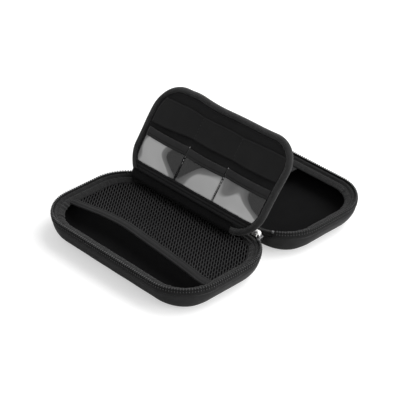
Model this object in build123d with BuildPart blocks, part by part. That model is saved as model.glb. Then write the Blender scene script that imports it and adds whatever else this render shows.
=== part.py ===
"""Cable organizer pouch, opened flat like a book, with its divider page standing up.

Millimetres, +Z up. X runs along the spine, the front half lies towards -Y and the
rear half towards +Y. The floor is Z = 0 and the origin is below the middle of the spine.
"""

import os
from math import asin, cos, degrees, radians, sin

from build123d import *

# ---- Case half, measured over the zip ----
case_length = 162.0
case_width = 95.6
corner_radius = 33.0
zip_plane = 20.8        # height at which the two zip halves meet when closed
spine_gap = 2.9         # from the middle of the spine to the zip outline
fold_offset = 3.3       # from the middle of the spine to each fold line
fold_height = zip_plane - fold_offset

# ---- Moulded shell and its lining ----
rim_height = 15.2
shell_inset = 0.4
shell_wall = 3.0
shell_draft = 5.0
base_fillet = 13.0
lining_thickness = 0.8

# ---- Rolled binding on the rim ----
binding_inset = 1.5
binding_width = 5.5
binding_height = 2.2
binding_round = 1.0

# ---- Zip ----
tape_inset = 0.4
tape_thickness = 1.0
tape_top = 19.2
cord_width = 1.8
cord_height = 1.1
tooth_pitch = 2.0
tooth_width = 0.7
tooth_depth = 1.4
tooth_height = 0.95
zip_lead = 6.5          # from the middle of the parked slider to where the zip begins
stop_length = 2.4
stop_width = 2.4
stop_height = 1.4

# ---- Spine ----
spine_width = 6.0
spine_thickness = 1.2
tail_length = 9.0
tail_width = 3.2
hinge_tape_thickness = 0.8
hinge_tape_gap = 0.1
hinge_tape_height = 2.0

# ---- Mesh pocket in the front half ----
sheet_inset = 4.4
sheet_thickness = 0.8
mesh_end = 69.0         # distance from the middle of the spine to the pocket mouth
mesh_band_width = 7.0
mesh_band_thickness = 1.2

# ---- Strap in the rear half ----
strap_width = 18.0

# ---- Divider page ----
divider_angle = 52.5
divider_length = 140.0
divider_width = 79.0
divider_radius = 23.5
divider_shift = -6.0
divider_fold_y = -13.9
divider_edge = 2.2      # half thickness of the rolled edge
divider_binding_width = 4.5
core_inset = 1.2
core_thickness = 2.4

# ---- Pockets on the divider, heights above its lower edge ----
flap_top = 7.0
flap_thickness = 0.8
flap_length = 106.0
flap_root_length = 94.0
piping_radius = 0.5
window_bottom = 14.2
hem_bottom = 33.2
hem_top = 40.2
loop_bottom = 46.7
loop_top = 65.0
loop_slack = 0.8        # room between the board and each loop
loop_thickness = 0.8
loop_seam_width = 2.0
seam_positions = (-19.0, 21.6)
seam_width = 1.6
window_gap = 0.5
window_thickness = 0.5
pocket_thickness = 1.2
hem_thickness = 1.2

# ---- Slider and pull ----
slider_reach = 7.0      # from the end of the spine strip to the middle of the slider
slider_length = 9.4
slider_width = 6.0
slider_plate = 1.1
slider_core = 2.4
slider_rail = 0.6
cheek_thickness = 0.7
cheek_length = 3.0
pin_radius = 0.6
pull_clearance = 0.3    # between the pin and the eye, and beside the eye
pull_width = 4.6
pull_length = 12.4      # from the pin to the tip
pull_thickness = 1.2
pull_eye_wall = 0.8
pull_window = 6.0

half_middle = spine_gap + case_width / 2
spine_length = case_length - 2 * corner_radius
slider_x = spine_length / 2 + slider_reach
zip_start = slider_x + zip_lead
pull_x = slider_x + 1.0
eye_radius = pin_radius + pull_clearance + pull_eye_wall
pin_drop = eye_radius + pull_clearance
pin_z = fold_height - spine_thickness / 2 - slider_plate - pin_drop
cheek_y = (pull_width - cheek_thickness) / 2
core_face = core_thickness / 2
divider_plane = Plane(
    origin=(divider_shift, divider_fold_y, zip_plane),
    x_dir=(1, 0, 0),
    z_dir=(0, -sin(radians(divider_angle)), cos(radians(divider_angle))),
)


# ---------------------------------------------------------------- outlines
def half_plane(side, height):
    """Level plane at a height, centred on the front (-1) or rear (+1) half."""
    return Plane.XY.offset(height).move(Location((0, side * half_middle, 0)))


def half_outline(inset):
    """Outline of one case half, drawn in from the zip outline."""
    RectangleRounded(
        case_length - 2 * inset,
        case_width - 2 * inset,
        corner_radius - inset,
    )


def zip_line(side, begin):
    """Middle line of one zip half, from the +X end of the spine to the -X end."""
    inset = tape_inset + tape_thickness / 2
    radius = corner_radius - inset
    x = case_length / 2 - corner_radius
    near = -side * (case_width / 2 - corner_radius)
    far = -near
    turn = -side
    skipped = degrees(asin((begin - x) / radius))
    with BuildLine(half_plane(side, 0), mode=Mode.PRIVATE) as line:
        CenterArc((x, near), radius, turn * (90 - skipped), -turn * (90 - skipped))
        Line((x + radius, near), (x + radius, far))
        CenterArc((x, far), radius, 0, -turn * 90)
        Line((x, far - turn * radius), (-x, far - turn * radius))
        CenterArc((-x, far), radius, -turn * 90, -turn * 90)
        Line((-x - radius, far), (-x - radius, near))
        CenterArc((-x, near), radius, 180, -turn * (90 - skipped))
    return line.wire()


def divider_outline(inset):
    """Outline of the divider page, drawn in from its rolled edge."""
    with Locations((0, divider_width / 2 - divider_edge)):
        RectangleRounded(
            divider_length - 2 * inset,
            divider_width - 2 * inset,
            divider_radius - inset,
        )


def divider_field(left, right, low, high):
    """Part of the page inside its binding, between two sides and two heights."""
    divider_outline(divider_binding_width)
    with Locations(((left + right) / 2, (low + high) / 2 - divider_edge)):
        Rectangle(right - left, high - low, mode=Mode.INTERSECT)


# ---------------------------------------------------------------- case halves
def tub(side, inset, floor, round_radius):
    """Solid block with drafted walls and a rounded base, up to the rim."""
    with BuildPart(mode=Mode.PRIVATE) as block:
        with BuildSketch(half_plane(side, rim_height)):
            half_outline(inset)
        extrude(amount=-(rim_height - floor), taper=shell_draft)
        fillet(block.faces().sort_by(Axis.Z)[0].edges(), round_radius)
    return block.part


def build_shell(side):
    with BuildPart() as shell:
        add(tub(side, shell_inset, 0, base_fillet))
        add(
            tub(side, shell_inset + shell_wall, shell_wall, base_fillet - shell_wall),
            mode=Mode.SUBTRACT,
        )
    return shell.part


def build_lining(side):
    outer = shell_inset + shell_wall
    inner = outer + lining_thickness
    inner_round = base_fillet - shell_wall - lining_thickness
    with BuildPart() as lining:
        add(tub(side, outer, shell_wall, base_fillet - shell_wall))
        add(
            tub(side, inner, shell_wall + lining_thickness, inner_round),
            mode=Mode.SUBTRACT,
        )
    return lining.part


def build_binding(side):
    with BuildPart() as binding:
        with BuildSketch(half_plane(side, rim_height)):
            half_outline(binding_inset)
            with BuildSketch(mode=Mode.SUBTRACT):
                half_outline(binding_inset + binding_width)
        extrude(amount=binding_height)
        fillet(binding.faces().sort_by(Axis.Z)[-1].edges(), binding_round)
    return binding.part


def build_zip_tape(side):
    with BuildPart() as tape:
        with BuildSketch(Plane.XY.offset(rim_height)):
            trace(zip_line(side, zip_start), tape_thickness)
        extrude(amount=tape_top - rim_height)
    return tape.part


def build_zip_teeth(side):
    """Cord with its row of teeth. The rear row is half a pitch along, so the rows mesh."""
    line = zip_line(side, zip_start + stop_length)
    first = tooth_pitch / 2 if side < 0 else tooth_pitch
    count = int((line.length - first - tooth_width) / tooth_pitch) + 1
    with BuildPart() as teeth:
        with BuildSketch(Plane.XY.offset(tape_top)):
            trace(line, cord_width)
        extrude(amount=cord_height)
        with BuildSketch(Plane.XY.offset(tape_top + cord_height)):
            for index in range(count):
                distance = first + index * tooth_pitch
                spot = line.position_at(distance, position_mode=PositionMode.LENGTH)
                angle = line.tangent_angle_at(distance, position_mode=PositionMode.LENGTH)
                with Locations(Location((spot.X, spot.Y), angle)):
                    Rectangle(tooth_width, tooth_depth)
        extrude(amount=tooth_height)
    return teeth.part


def build_zip_stops(side):
    """Pair of end stops, one on the tape at each end of the teeth."""
    line = zip_line(side, zip_start)
    with BuildPart() as stops:
        with BuildSketch(Plane.XY.offset(tape_top)):
            for distance in (stop_length / 2, line.length - stop_length / 2):
                spot = line.position_at(distance, position_mode=PositionMode.LENGTH)
                angle = line.tangent_angle_at(distance, position_mode=PositionMode.LENGTH)
                with Locations(Location((spot.X, spot.Y), angle)):
                    Rectangle(stop_length - 0.4, stop_width)
        extrude(amount=stop_height)
    return stops.part


def build_hinge_tape(side):
    """Strip on the spine side of the rim that the spine is sewn to."""
    middle = side * (fold_offset + hinge_tape_gap + hinge_tape_thickness / 2)
    with BuildPart() as tape:
        with Locations((0, middle, rim_height)):
            Box(
                spine_length,
                hinge_tape_thickness,
                hinge_tape_height,
                align=(Align.CENTER, Align.CENTER, Align.MIN),
            )
    return tape.part


# ---------------------------------------------------------------- front half
def build_mesh_pocket():
    keep_width = mesh_end - spine_gap
    with BuildPart() as mesh:
        with BuildSketch(half_plane(-1, rim_height - sheet_thickness)):
            half_outline(sheet_inset)
            with Locations((0, (case_width - keep_width) / 2)):
                Rectangle(case_length, keep_width, mode=Mode.INTERSECT)
        extrude(amount=sheet_thickness)
    return mesh.part


def build_mesh_band():
    """Elastic that edges the pocket mouth, lying on the mesh between the bindings."""
    middle = half_middle - mesh_end + mesh_band_width / 2
    with BuildPart() as band:
        with BuildSketch(half_plane(-1, rim_height)):
            half_outline(binding_inset + binding_width)
            with Locations((0, middle)):
                Rectangle(case_length, mesh_band_width, mode=Mode.INTERSECT)
        extrude(amount=mesh_band_thickness)
        fillet(band.edges().filter_by(Axis.X), 0.5)
    return band.part


def build_flap_root():
    """Lower half of the flap, from the rim binding up to the divider's fold."""
    root_y = -(spine_gap + binding_inset + binding_width)
    tip_y = divider_fold_y - 0.6
    tip_z = zip_plane - divider_edge - flap_thickness - 0.3
    with BuildPart() as root:
        with BuildSketch(Plane.YZ.offset(-flap_root_length / 2)):
            with BuildLine():
                Polyline(
                    (root_y, rim_height),
                    (root_y, rim_height + 1.2),
                    (tip_y + 1.0, tip_z),
                    (tip_y, tip_z),
                    (tip_y, tip_z - 1.0),
                    (root_y - 1.6, rim_height),
                    close=True,
                )
            make_face()
        extrude(amount=flap_root_length)
    return root.part


# ---------------------------------------------------------------- rear half
def build_strap():
    with BuildPart() as strap:
        with BuildSketch(half_plane(1, rim_height - sheet_thickness)):
            half_outline(sheet_inset)
            Rectangle(strap_width, case_width, mode=Mode.INTERSECT)
        extrude(amount=sheet_thickness)
    return strap.part


# ---------------------------------------------------------------- spine and slider
def build_spine():
    """Fabric strip between the halves, with a narrow tail that holds the slider."""
    with BuildPart() as spine:
        with Locations((0, 0, fold_height)):
            Box(spine_length, spine_width, spine_thickness)
        with Locations((spine_length / 2 + tail_length / 2, 0, fold_height)):
            Box(tail_length, tail_width, spine_thickness)
        corners = spine.edges().filter_by(Axis.Z).group_by(Axis.X)
        fillet(corners[0], 1.5)
        fillet(corners[-1], 1.0)
    return spine.part


def build_slider_body():
    """Two plates joined by a wedge post, with rails along the edges of both plates."""
    low = fold_height - spine_thickness / 2
    high = fold_height + spine_thickness / 2
    post_x = slider_x + slider_length / 2 - slider_core / 2
    with BuildPart() as slider:
        for top in (low, high + slider_plate):
            with BuildSketch(Plane.XY.offset(top - slider_plate)):
                with Locations((slider_x, 0)):
                    RectangleRounded(slider_length, slider_width, 1.6)
            extrude(amount=slider_plate)
        outer = slider.edges().filter_by(GeomType.LINE, reverse=True)
        rim_edges = outer.group_by(Axis.Z)
        fillet(rim_edges[0] + rim_edges[-1], 0.35)
        with Locations((post_x, 0, fold_height)):
            Box(slider_core, slider_core, spine_thickness)
        rail_y = slider_width / 2 - slider_rail / 2
        with Locations((slider_x, rail_y, high - 0.2), (slider_x, -rail_y, high - 0.2)):
            Box(slider_length - 3.6, slider_rail, 0.4)
        with Locations((slider_x, rail_y, low + 0.2), (slider_x, -rail_y, low + 0.2)):
            Box(slider_length - 3.6, slider_rail, 0.4)
    return slider.part


def build_slider_bridge():
    """Cheeks and cross pin under the lower plate, on which the pull swings."""
    with BuildPart() as bridge:
        for sign in (-1, 1):
            with Locations((pull_x, sign * cheek_y, pin_z + pin_drop)):
                Box(
                    cheek_length,
                    cheek_thickness,
                    pin_drop + pin_radius + 0.3,
                    align=(Align.CENTER, Align.CENTER, Align.MAX),
                )
        with Locations(Location((pull_x, 0, pin_z), (90, 0, 0))):
            Cylinder(pin_radius, 2 * cheek_y)
    return bridge.part


def build_pull():
    """Flat tab with an open window, hanging by its eye from the cross pin."""
    neck = 2 * (cheek_y - cheek_thickness / 2 - pull_clearance)
    shoulder = 2.3
    with BuildPart() as pull:
        with Locations(Location((pull_x, 0, pin_z), (90, 0, 0))):
            Cylinder(eye_radius, neck)
        with Locations((pull_x, 0, pin_z)):
            Box(
                pull_thickness,
                neck,
                shoulder + 0.5,
                align=(Align.CENTER, Align.CENTER, Align.MAX),
            )
        with BuildSketch(Plane.YZ.offset(pull_x - pull_thickness / 2)):
            with Locations((0, pin_z - (shoulder + pull_length) / 2)):
                RectangleRounded(pull_width, pull_length - shoulder, 1.2)
        extrude(amount=pull_thickness)
        with BuildSketch(Plane.YZ.offset(pull_x - pull_thickness / 2)):
            with Locations((0, pin_z - (shoulder + pull_length) / 2)):
                RectangleRounded(pull_width - 2.4, pull_window, 0.8)
        extrude(amount=pull_thickness, mode=Mode.SUBTRACT)
        with Locations(Location((pull_x, 0, pin_z), (90, 0, 0))):
            Cylinder(pin_radius + pull_clearance, neck, mode=Mode.SUBTRACT)
    return pull.part


# ---------------------------------------------------------------- divider page
def build_core():
    with BuildPart() as core:
        with BuildSketch(divider_plane.offset(-core_face)):
            divider_outline(core_inset)
        extrude(amount=core_thickness)
    return core.part


def build_divider_binding():
    """Rolled edge, rounded all along, folded round the edge of the board."""
    with BuildPart() as binding:
        with BuildSketch(divider_plane.offset(-divider_edge)):
            divider_outline(0)
        extrude(amount=2 * divider_edge)
        ends = binding.faces().filter_by(divider_plane)
        fillet(ends.edges(), divider_edge - 0.05)
        with BuildSketch(divider_plane.offset(-divider_edge)):
            divider_outline(divider_binding_width)
        extrude(amount=2 * divider_edge, mode=Mode.SUBTRACT)
        add(build_core(), mode=Mode.SUBTRACT)
    return binding.part


def build_loops():
    """Elastic band stitched to the page at its ends and seams, open between them."""
    edge = divider_length / 2
    spots = [-edge + divider_binding_width + loop_seam_width / 2]
    spots += list(seam_positions)
    spots += [edge - divider_binding_width - loop_seam_width / 2]
    with BuildPart() as loops:
        for spot in spots:
            left = spot - loop_seam_width
            right = spot + loop_seam_width
            with BuildSketch(divider_plane.offset(core_face)):
                divider_field(left, right, loop_bottom, loop_top)
            extrude(amount=loop_slack)
        with BuildSketch(divider_plane.offset(core_face + loop_slack)):
            divider_field(-edge, edge, loop_bottom, loop_top)
        extrude(amount=loop_thickness)
    return loops.part


def pocket_sides(index):
    """Left and right limits of one of the pockets."""
    limits = [-divider_length / 2, *seam_positions, divider_length / 2]
    left = limits[index] + (seam_width / 2 if index > 0 else 0)
    right = limits[index + 1] - (seam_width / 2 if index < 2 else 0)
    return left, right


def build_window(index):
    left, right = pocket_sides(index)
    with BuildPart() as window:
        with BuildSketch(divider_plane.offset(core_face + window_gap)):
            divider_field(left, right, window_bottom, hem_bottom)
        extrude(amount=window_thickness)
    return window.part


def build_hem(index):
    left, right = pocket_sides(index)
    with BuildPart() as hem:
        with BuildSketch(divider_plane.offset(core_face + window_gap)):
            divider_field(left, right, hem_bottom, hem_top)
        extrude(amount=hem_thickness)
    return hem.part


def build_seam(index):
    spot = seam_positions[index]
    with BuildPart() as seam:
        with BuildSketch(divider_plane.offset(core_face)):
            divider_field(spot - seam_width / 2, spot + seam_width / 2, window_bottom, hem_top)
        extrude(amount=pocket_thickness)
    return seam.part


def build_pocket_base():
    """Strip that closes the pockets along their lower edge."""
    edge = divider_length / 2
    with BuildPart() as base:
        with BuildSketch(divider_plane.offset(core_face)):
            divider_field(-edge, edge, flap_top, window_bottom)
        extrude(amount=pocket_thickness)
    return base.part


def build_flap():
    """Fabric over the page's lower edge, wrapped round the line it folds on."""
    inner = divider_edge + 0.05
    outer = inner + flap_thickness
    section = Plane(
        origin=divider_plane.origin - divider_plane.x_dir * flap_length / 2,
        x_dir=divider_plane.y_dir,
        z_dir=divider_plane.x_dir,
    )
    with BuildPart() as flap:
        with BuildSketch(section):
            with BuildLine():
                wrap = CenterArc((0, 0), outer, 90, 90)
                lining = CenterArc((0, 0), inner, 90, 90)
                Line(wrap @ 1, lining @ 1)
                Polyline(
                    wrap @ 0,
                    (flap_top - divider_edge, outer),
                    (flap_top - divider_edge, inner),
                    lining @ 0,
                )
            make_face()
        extrude(amount=flap_length)
    return flap.part


def build_piping():
    """Thin cord that finishes the upper edge of the flap."""
    middle = core_face + pocket_thickness + piping_radius
    start = divider_plane.from_local_coords(
        (-flap_length / 2, flap_top + piping_radius - divider_edge, middle)
    )
    with BuildPart() as piping:
        with BuildSketch(Plane(origin=start, z_dir=divider_plane.x_dir)):
            Circle(piping_radius)
        extrude(amount=flap_length)
    return piping.part


# ---------------------------------------------------------------- pieces
pieces = {
    "front_mesh_pocket": build_mesh_pocket(),
    "front_mesh_band": build_mesh_band(),
    "front_flap_root": build_flap_root(),
    "rear_strap": build_strap(),
    "spine_panel": build_spine(),
    "slider_body": build_slider_body(),
    "slider_bridge": build_slider_bridge(),
    "zip_pull": build_pull(),
    "divider_core": build_core(),
    "divider_binding": build_divider_binding(),
    "divider_loops": build_loops(),
    "divider_pocket_base": build_pocket_base(),
    "divider_flap": build_flap(),
    "divider_piping": build_piping(),
}
for half, side in (("front", -1), ("rear", 1)):
    pieces[half + "_shell"] = build_shell(side)
    pieces[half + "_lining"] = build_lining(side)
    pieces[half + "_binding"] = build_binding(side)
    pieces[half + "_zip_tape"] = build_zip_tape(side)
    pieces[half + "_zip_teeth"] = build_zip_teeth(side)
    pieces[half + "_zip_stops"] = build_zip_stops(side)
    pieces[half + "_hinge_tape"] = build_hinge_tape(side)
for index, place in enumerate(("left", "middle", "right")):
    pieces["window_" + place] = build_window(index)
    pieces["hem_" + place] = build_hem(index)
for index, place in enumerate(("left", "right")):
    pieces["seam_" + place] = build_seam(index)

os.makedirs("parts", exist_ok=True)
for name, piece in pieces.items():
    piece.label = name
    export_step(piece, "parts/" + name + ".step")
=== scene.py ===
# %% [markdown]
# # Cable organizer pouch, opened flat
#
# The pouch is a moulded zip case that opens like a book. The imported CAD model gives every
# piece its place and its body. This lesson dresses it: it models the soft and small pieces
# again with more form, and gives every surface a finish made of nodes.

# %% Load the frame
import math
from functools import partial

import bmesh
import bpy
from mathutils import Matrix, Vector, noise


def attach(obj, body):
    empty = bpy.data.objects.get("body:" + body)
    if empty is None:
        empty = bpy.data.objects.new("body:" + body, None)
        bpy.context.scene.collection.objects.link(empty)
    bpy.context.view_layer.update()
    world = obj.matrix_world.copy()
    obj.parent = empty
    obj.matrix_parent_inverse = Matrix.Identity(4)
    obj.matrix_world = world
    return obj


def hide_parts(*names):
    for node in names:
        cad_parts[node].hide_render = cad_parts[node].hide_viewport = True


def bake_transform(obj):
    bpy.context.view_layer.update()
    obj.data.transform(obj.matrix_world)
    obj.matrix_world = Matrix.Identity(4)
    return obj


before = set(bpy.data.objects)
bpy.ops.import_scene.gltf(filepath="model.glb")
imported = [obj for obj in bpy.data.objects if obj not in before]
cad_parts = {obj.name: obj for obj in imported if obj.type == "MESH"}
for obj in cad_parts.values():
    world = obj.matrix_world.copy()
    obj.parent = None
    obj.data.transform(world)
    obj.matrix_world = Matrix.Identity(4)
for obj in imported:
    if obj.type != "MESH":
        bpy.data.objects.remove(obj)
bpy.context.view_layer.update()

# %% [markdown]
# ## Sizes
#
# A maker writes the pattern sizes down once. These repeat the sizes of the CAD source, in
# metres, so that a new piece lands exactly where its solid is.

# %% Pattern sizes
MM = 0.001


def mm(*sizes):
    """Sizes given in millimetres, in metres."""
    return tuple(size * MM for size in sizes)


CASE = CASE_X, CASE_Y, CASE_R = mm(162, 95.6, 33)
SPINE_GAP = 2.9 * MM
SPINE_HALF = 48 * MM
HALF_MIDDLE = SPINE_GAP + CASE_Y / 2
ZIP_Z = 20.8 * MM
PAGE = PAGE_X, PAGE_Y, PAGE_R = mm(140, 79, 23.5)
PAGE_EDGE = 2.2 * MM
PAGE_TILT = math.radians(52.5)
PAGE_ORIGIN = Vector((-6 * MM, -13.9 * MM, ZIP_Z))
SEAMS = mm(-19.0, 21.6)
page_place = Matrix.Translation(PAGE_ORIGIN) @ Matrix.Rotation(PAGE_TILT, 4, "X")
print("half middle", HALF_MIDDLE, "page origin", tuple(PAGE_ORIGIN))

# %% [markdown]
# ## Camera, floor and light
#
# The pouch is seen from above one corner with a long lens, so that its edges stay almost
# parallel. A large soft lamp hangs high behind the pouch, as in a small photo tent, and a
# smaller one stands low on the right. The floor and the world are white to the camera.

# %% Small helpers for objects and node trees
def add_object(name, data):
    """A new object in the scene."""
    thing = bpy.data.objects.new(name, data)
    bpy.context.scene.collection.objects.link(thing)
    return thing


def mesh_data(name, bm):
    """Turns a bmesh into mesh data."""
    data = bpy.data.meshes.new(name)
    bm.to_mesh(data)
    bm.free()
    return data


def feed(tree, value, socket):
    """Links a socket, or sets its value."""
    if isinstance(value, bpy.types.NodeSocket):
        tree.links.new(value, socket)
    else:
        socket.default_value = value


def fill(tree, node, **values):
    """Feeds the inputs of a node by name, with _ for a space."""
    for label, value in values.items():
        feed(tree, value, node.inputs[label.replace("_", " ")])


def add_node(tree, kind, *in_order, **by_name):
    """A shader node with its inputs fed, first in order and then by name."""
    node = tree.nodes.new("ShaderNode" + kind)
    for socket, value in zip(node.inputs, in_order):
        feed(tree, value, socket)
    fill(tree, node, **by_name)
    return node


def math_node(tree, operation, *values):
    node = add_node(tree, "Math", *values)
    node.operation = operation
    return node.outputs[0]


def paint(name):
    """A new material and its node tree."""
    material = bpy.data.materials.new(name)
    material.use_nodes = True
    return material, material.node_tree


# %% Camera
VIEW_TURN, VIEW_RISE = math.radians(46.46), math.radians(32.72)
VIEW_DISTANCE = 1.2973
VIEW_TARGET = Vector((-0.0269, 0.0201, 0.0))
back = Vector((
    math.sin(VIEW_TURN) * math.cos(VIEW_RISE),
    -math.cos(VIEW_TURN) * math.cos(VIEW_RISE),
    math.sin(VIEW_RISE),
))
camera_data = bpy.data.cameras.new("camera")
camera_data.lens = 153.0
camera_data.sensor_width = 36.0
camera_data.clip_end = 20.0
camera = add_object("camera", camera_data)
camera.location = VIEW_TARGET + back * VIEW_DISTANCE
camera.rotation_euler = (-back).to_track_quat("-Z", "Y").to_euler()
bpy.context.scene.camera = camera
bpy.context.scene.view_settings.view_transform = "Standard"


# %% Lamps
def softbox(name, place, size, power):
    """A square lamp that faces the middle of the pouch."""
    lamp = bpy.data.lights.new(name, "AREA")
    lamp.shape = "SQUARE"
    lamp.size = size
    lamp.energy = power
    holder = add_object(name, lamp)
    holder.location = place
    aim = Vector((0, 0, 0.02)) - Vector(place)
    holder.rotation_euler = aim.to_track_quat("-Z", "Y").to_euler()


softbox("key_lamp", (0.35, 0.80, 1.30), 1.3, 24.0)
softbox("side_lamp", (1.35, 0.35, 0.55), 0.9, 15.0)

# %% World and floor
world = bpy.data.worlds.new("world")
bpy.context.scene.world = world
world.use_nodes = True
tree = world.node_tree
tree.nodes.clear()
paths = add_node(tree, "LightPath").outputs
seen = math_node(tree, "MAXIMUM", paths["Is Camera Ray"], paths["Is Transmission Ray"])
seen_or_glossy = math_node(tree, "MAXIMUM", seen, paths["Is Glossy Ray"])
ambient = add_node(tree, "Background", Color=(1, 1, 1, 1), Strength=0.5).outputs[0]
white = add_node(tree, "Background", Color=(1, 1, 1, 1), Strength=1.0).outputs[0]
world_mix = add_node(tree, "MixShader", seen_or_glossy, ambient, white)
add_node(tree, "OutputWorld", Surface=world_mix.outputs[0])

floor_mesh = bmesh.new()
bmesh.ops.create_grid(floor_mesh, x_segments=1, y_segments=1, size=3.0)
floor = add_object("floor", mesh_data("floor", floor_mesh))
floor.location.z = -0.0002
floor_paint, tree = paint("floor_white")
tree.nodes.clear()
diffuse = add_node(tree, "BsdfDiffuse", Color=(0.62, 0.62, 0.62, 1)).outputs[0]
lift = add_node(tree, "Emission", Strength=0.50).outputs[0]
plain = add_node(tree, "AddShader", diffuse, lift).outputs[0]
seen = add_node(tree, "LightPath").outputs["Is Camera Ray"]
chosen = add_node(tree, "MixShader", seen, diffuse, plain)
add_node(tree, "OutputMaterial", Surface=chosen.outputs[0])
floor.data.materials.append(floor_paint)

# %% [markdown]
# ## Helpers for making pieces
#
# Every finished piece is one mesh at the origin that rides on a body of the case and stands
# for its plain solid. Most edges of a sewn case follow a rounded rectangle, so one helper
# walks round such an outline and another carries a profile along it. The profile is extruded
# edge by edge, and each new face gets its place in a UV map: the run along the outline and
# the girth round the profile, both in metres, so a weave keeps its true size everywhere.

# %% Walk round an outline
def outline_point(run, long_x, long_y, radius):
    """Place and heading after a run round a rounded rectangle, from the middle of its -Y side."""
    half_x, half_y = long_x / 2 - radius, long_y / 2 - radius
    quarter = math.pi * radius / 2
    centres = [(half_x, -half_y), (half_x, half_y), (-half_x, half_y), (-half_x, -half_y)]
    lengths = [half_x, 2 * half_y, 2 * half_x, 2 * half_y, half_x]
    here = Vector((0, -long_y / 2))
    for side, length in enumerate(lengths):
        heading = side * math.pi / 2
        if run <= length or side == 4:
            return here + Vector((math.cos(heading), math.sin(heading))) * run, heading
        run -= length
        centre = Vector(centres[side])
        if run <= quarter:
            heading += run / radius
            return centre + radius * Vector((math.sin(heading), -math.cos(heading))), heading
        run -= quarter
        here = centre + radius * Vector((math.cos(heading), math.sin(heading)))


def outline_length(long_x, long_y, radius):
    return 2 * (long_x + long_y) - 8 * radius + 2 * math.pi * radius


def outline_frames(long_x, long_y, radius, spacing, begin=0.0, end=None):
    """Evenly spaced (place, heading, run) round an outline, or along a part of it."""
    closed = end is None
    stretch = outline_length(long_x, long_y, radius) if closed else end - begin
    count = max(2, round(stretch / spacing))
    runs = [begin + stretch * number / count for number in range(count + (not closed))]
    return [(*outline_point(run, long_x, long_y, radius), run) for run in runs]


case_length = outline_length(*CASE)
page_length = outline_length(*PAGE)
print("rim length", round(case_length / MM), "mm, page edge", round(page_length / MM), "mm")

# %% Carry a profile along
def frame_spot(place, heading, pair):
    inward = Vector((-math.sin(heading), math.cos(heading)))
    flat = place + inward * pair[0]
    return Vector((flat.x, flat.y, pair[1]))


def swept(frames, shape_at, closed_path=True, closed_shape=True):
    """A profile extruded from frame to frame. shape_at(run) gives (inset, height) pairs."""
    bm = bmesh.new()
    uv = bm.loops.layers.uv.verify()
    place, heading, run = frames[0]
    ring = [bm.verts.new(frame_spot(place, heading, pair)) for pair in shape_at(run)]
    girths = [0.0]
    for one, two in zip(ring, ring[1:] + ring[:1]):
        girths.append(girths[-1] + (two.co - one.co).length)
    links = [(a, (a + 1) % len(ring)) for a in range(len(ring) - (not closed_shape))]
    edges = [bm.edges.new((ring[a], ring[b])) for a, b in links]
    first_ring = ring
    stops = list(range(1, len(frames))) + ([0] if closed_path else [])
    total = frames[-1][2] + (frames[1][2] - frames[0][2])
    for number in stops:
        place, heading, next_run = frames[number]
        along = next_run if number else total
        made = bmesh.ops.extrude_edge_only(bm, edges=edges)["geom"]
        spots = {v.co.to_tuple(9): v for v in made if isinstance(v, bmesh.types.BMVert)}
        fresh = [spots[v.co.to_tuple(9)] for v in ring]
        for a, b in links:
            face = bm.faces.get((ring[a], ring[b], fresh[b], fresh[a]))
            for corner in face.loops:
                girth = girths[a] if corner.vert in (ring[a], fresh[a]) else girths[a + 1]
                corner[uv].uv = (along if corner.vert in fresh else run, girth)
        for vert, pair in zip(fresh, shape_at(next_run)):
            vert.co = frame_spot(place, heading, pair)
        ring, run = fresh, along
        edges = [bm.edges.get((ring[a], ring[b])) for a, b in links]
    if closed_path:
        bmesh.ops.remove_doubles(bm, verts=bm.verts, dist=1e-6)
    else:
        for end in (first_ring, ring):
            bmesh.ops.contextual_create(bm, geom=end)
    return bm


def path_along(places, y_at=lambda x: 0.0):
    """Frames along X at places in millimetres."""
    return [(Vector((x * MM, y_at(x * MM))), 0.0, (x - places[0]) * MM) for x in places]


def grid(cols, rows):
    bm = bmesh.new()
    bmesh.ops.create_grid(bm, x_segments=cols, y_segments=rows, size=0.5)
    return bm


def map_uv(bm, spot_of):
    """Gives every corner its place in the UV map, worked out from its vertex's place."""
    uv = bm.loops.layers.uv.verify()
    for face in bm.faces:
        for corner in face.loops:
            corner[uv].uv = spot_of(corner.vert.co)


def thicken(bm, thickness):
    raised = bmesh.ops.extrude_face_region(bm, geom=list(bm.faces))["geom"]
    lifted = [g for g in raised if isinstance(g, bmesh.types.BMVert)]
    bmesh.ops.translate(bm, vec=(0, 0, thickness), verts=lifted)


def add_copy(bm, data, place):
    before = len(bm.verts)
    bm.from_mesh(data)
    bm.verts.ensure_lookup_table()
    bmesh.ops.transform(bm, matrix=place, verts=bm.verts[before:])


# %% Finish a piece
def finish_piece(name, bm, body, finish, slot, *nodes, place=None, front=False):
    """Turns a bmesh into a piece that rides on a body and stands for its solids."""
    if place is not None:
        bmesh.ops.transform(bm, matrix=place, verts=bm.verts)
    if front:
        bmesh.ops.scale(bm, vec=(1, -1, 1), verts=bm.verts)
    bmesh.ops.recalc_face_normals(bm, faces=bm.faces)
    mesh = mesh_data(name, bm)
    for face in mesh.polygons:
        face.use_smooth = True
    mesh.materials.append(finish)
    piece = add_object(name, mesh)
    if body is not None:
        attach(piece, body)
    if nodes:
        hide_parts(*nodes)
    return piece


# Name, body and side of the two halves. A half is shaped as the rear one, then mirrored.
HALVES = (("front", "front_case", True), ("rear", "rear_case", False))
to_half = Matrix.Translation((0, HALF_MIDDLE, 0))


def half_piece(half, title, bm, finish, slot, *solids, place=to_half):
    """Finishes a piece of one half, which stands for the half's own solids."""
    name, body, front = half
    nodes = [name + solid for solid in solids]
    return finish_piece(name + title, bm, body, finish, slot, *nodes, place=place, front=front)


# %% Soft wrinkles
def ripple(seed, x, y=0.0, z=0.0, size=10 * MM):
    """Smooth noise from -1 to 1 at a place, with waves of the given size."""
    return noise.noise(Vector((x, y, z)) / size + Vector((seed, seed * 1.7, seed * 0.3)))


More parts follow.
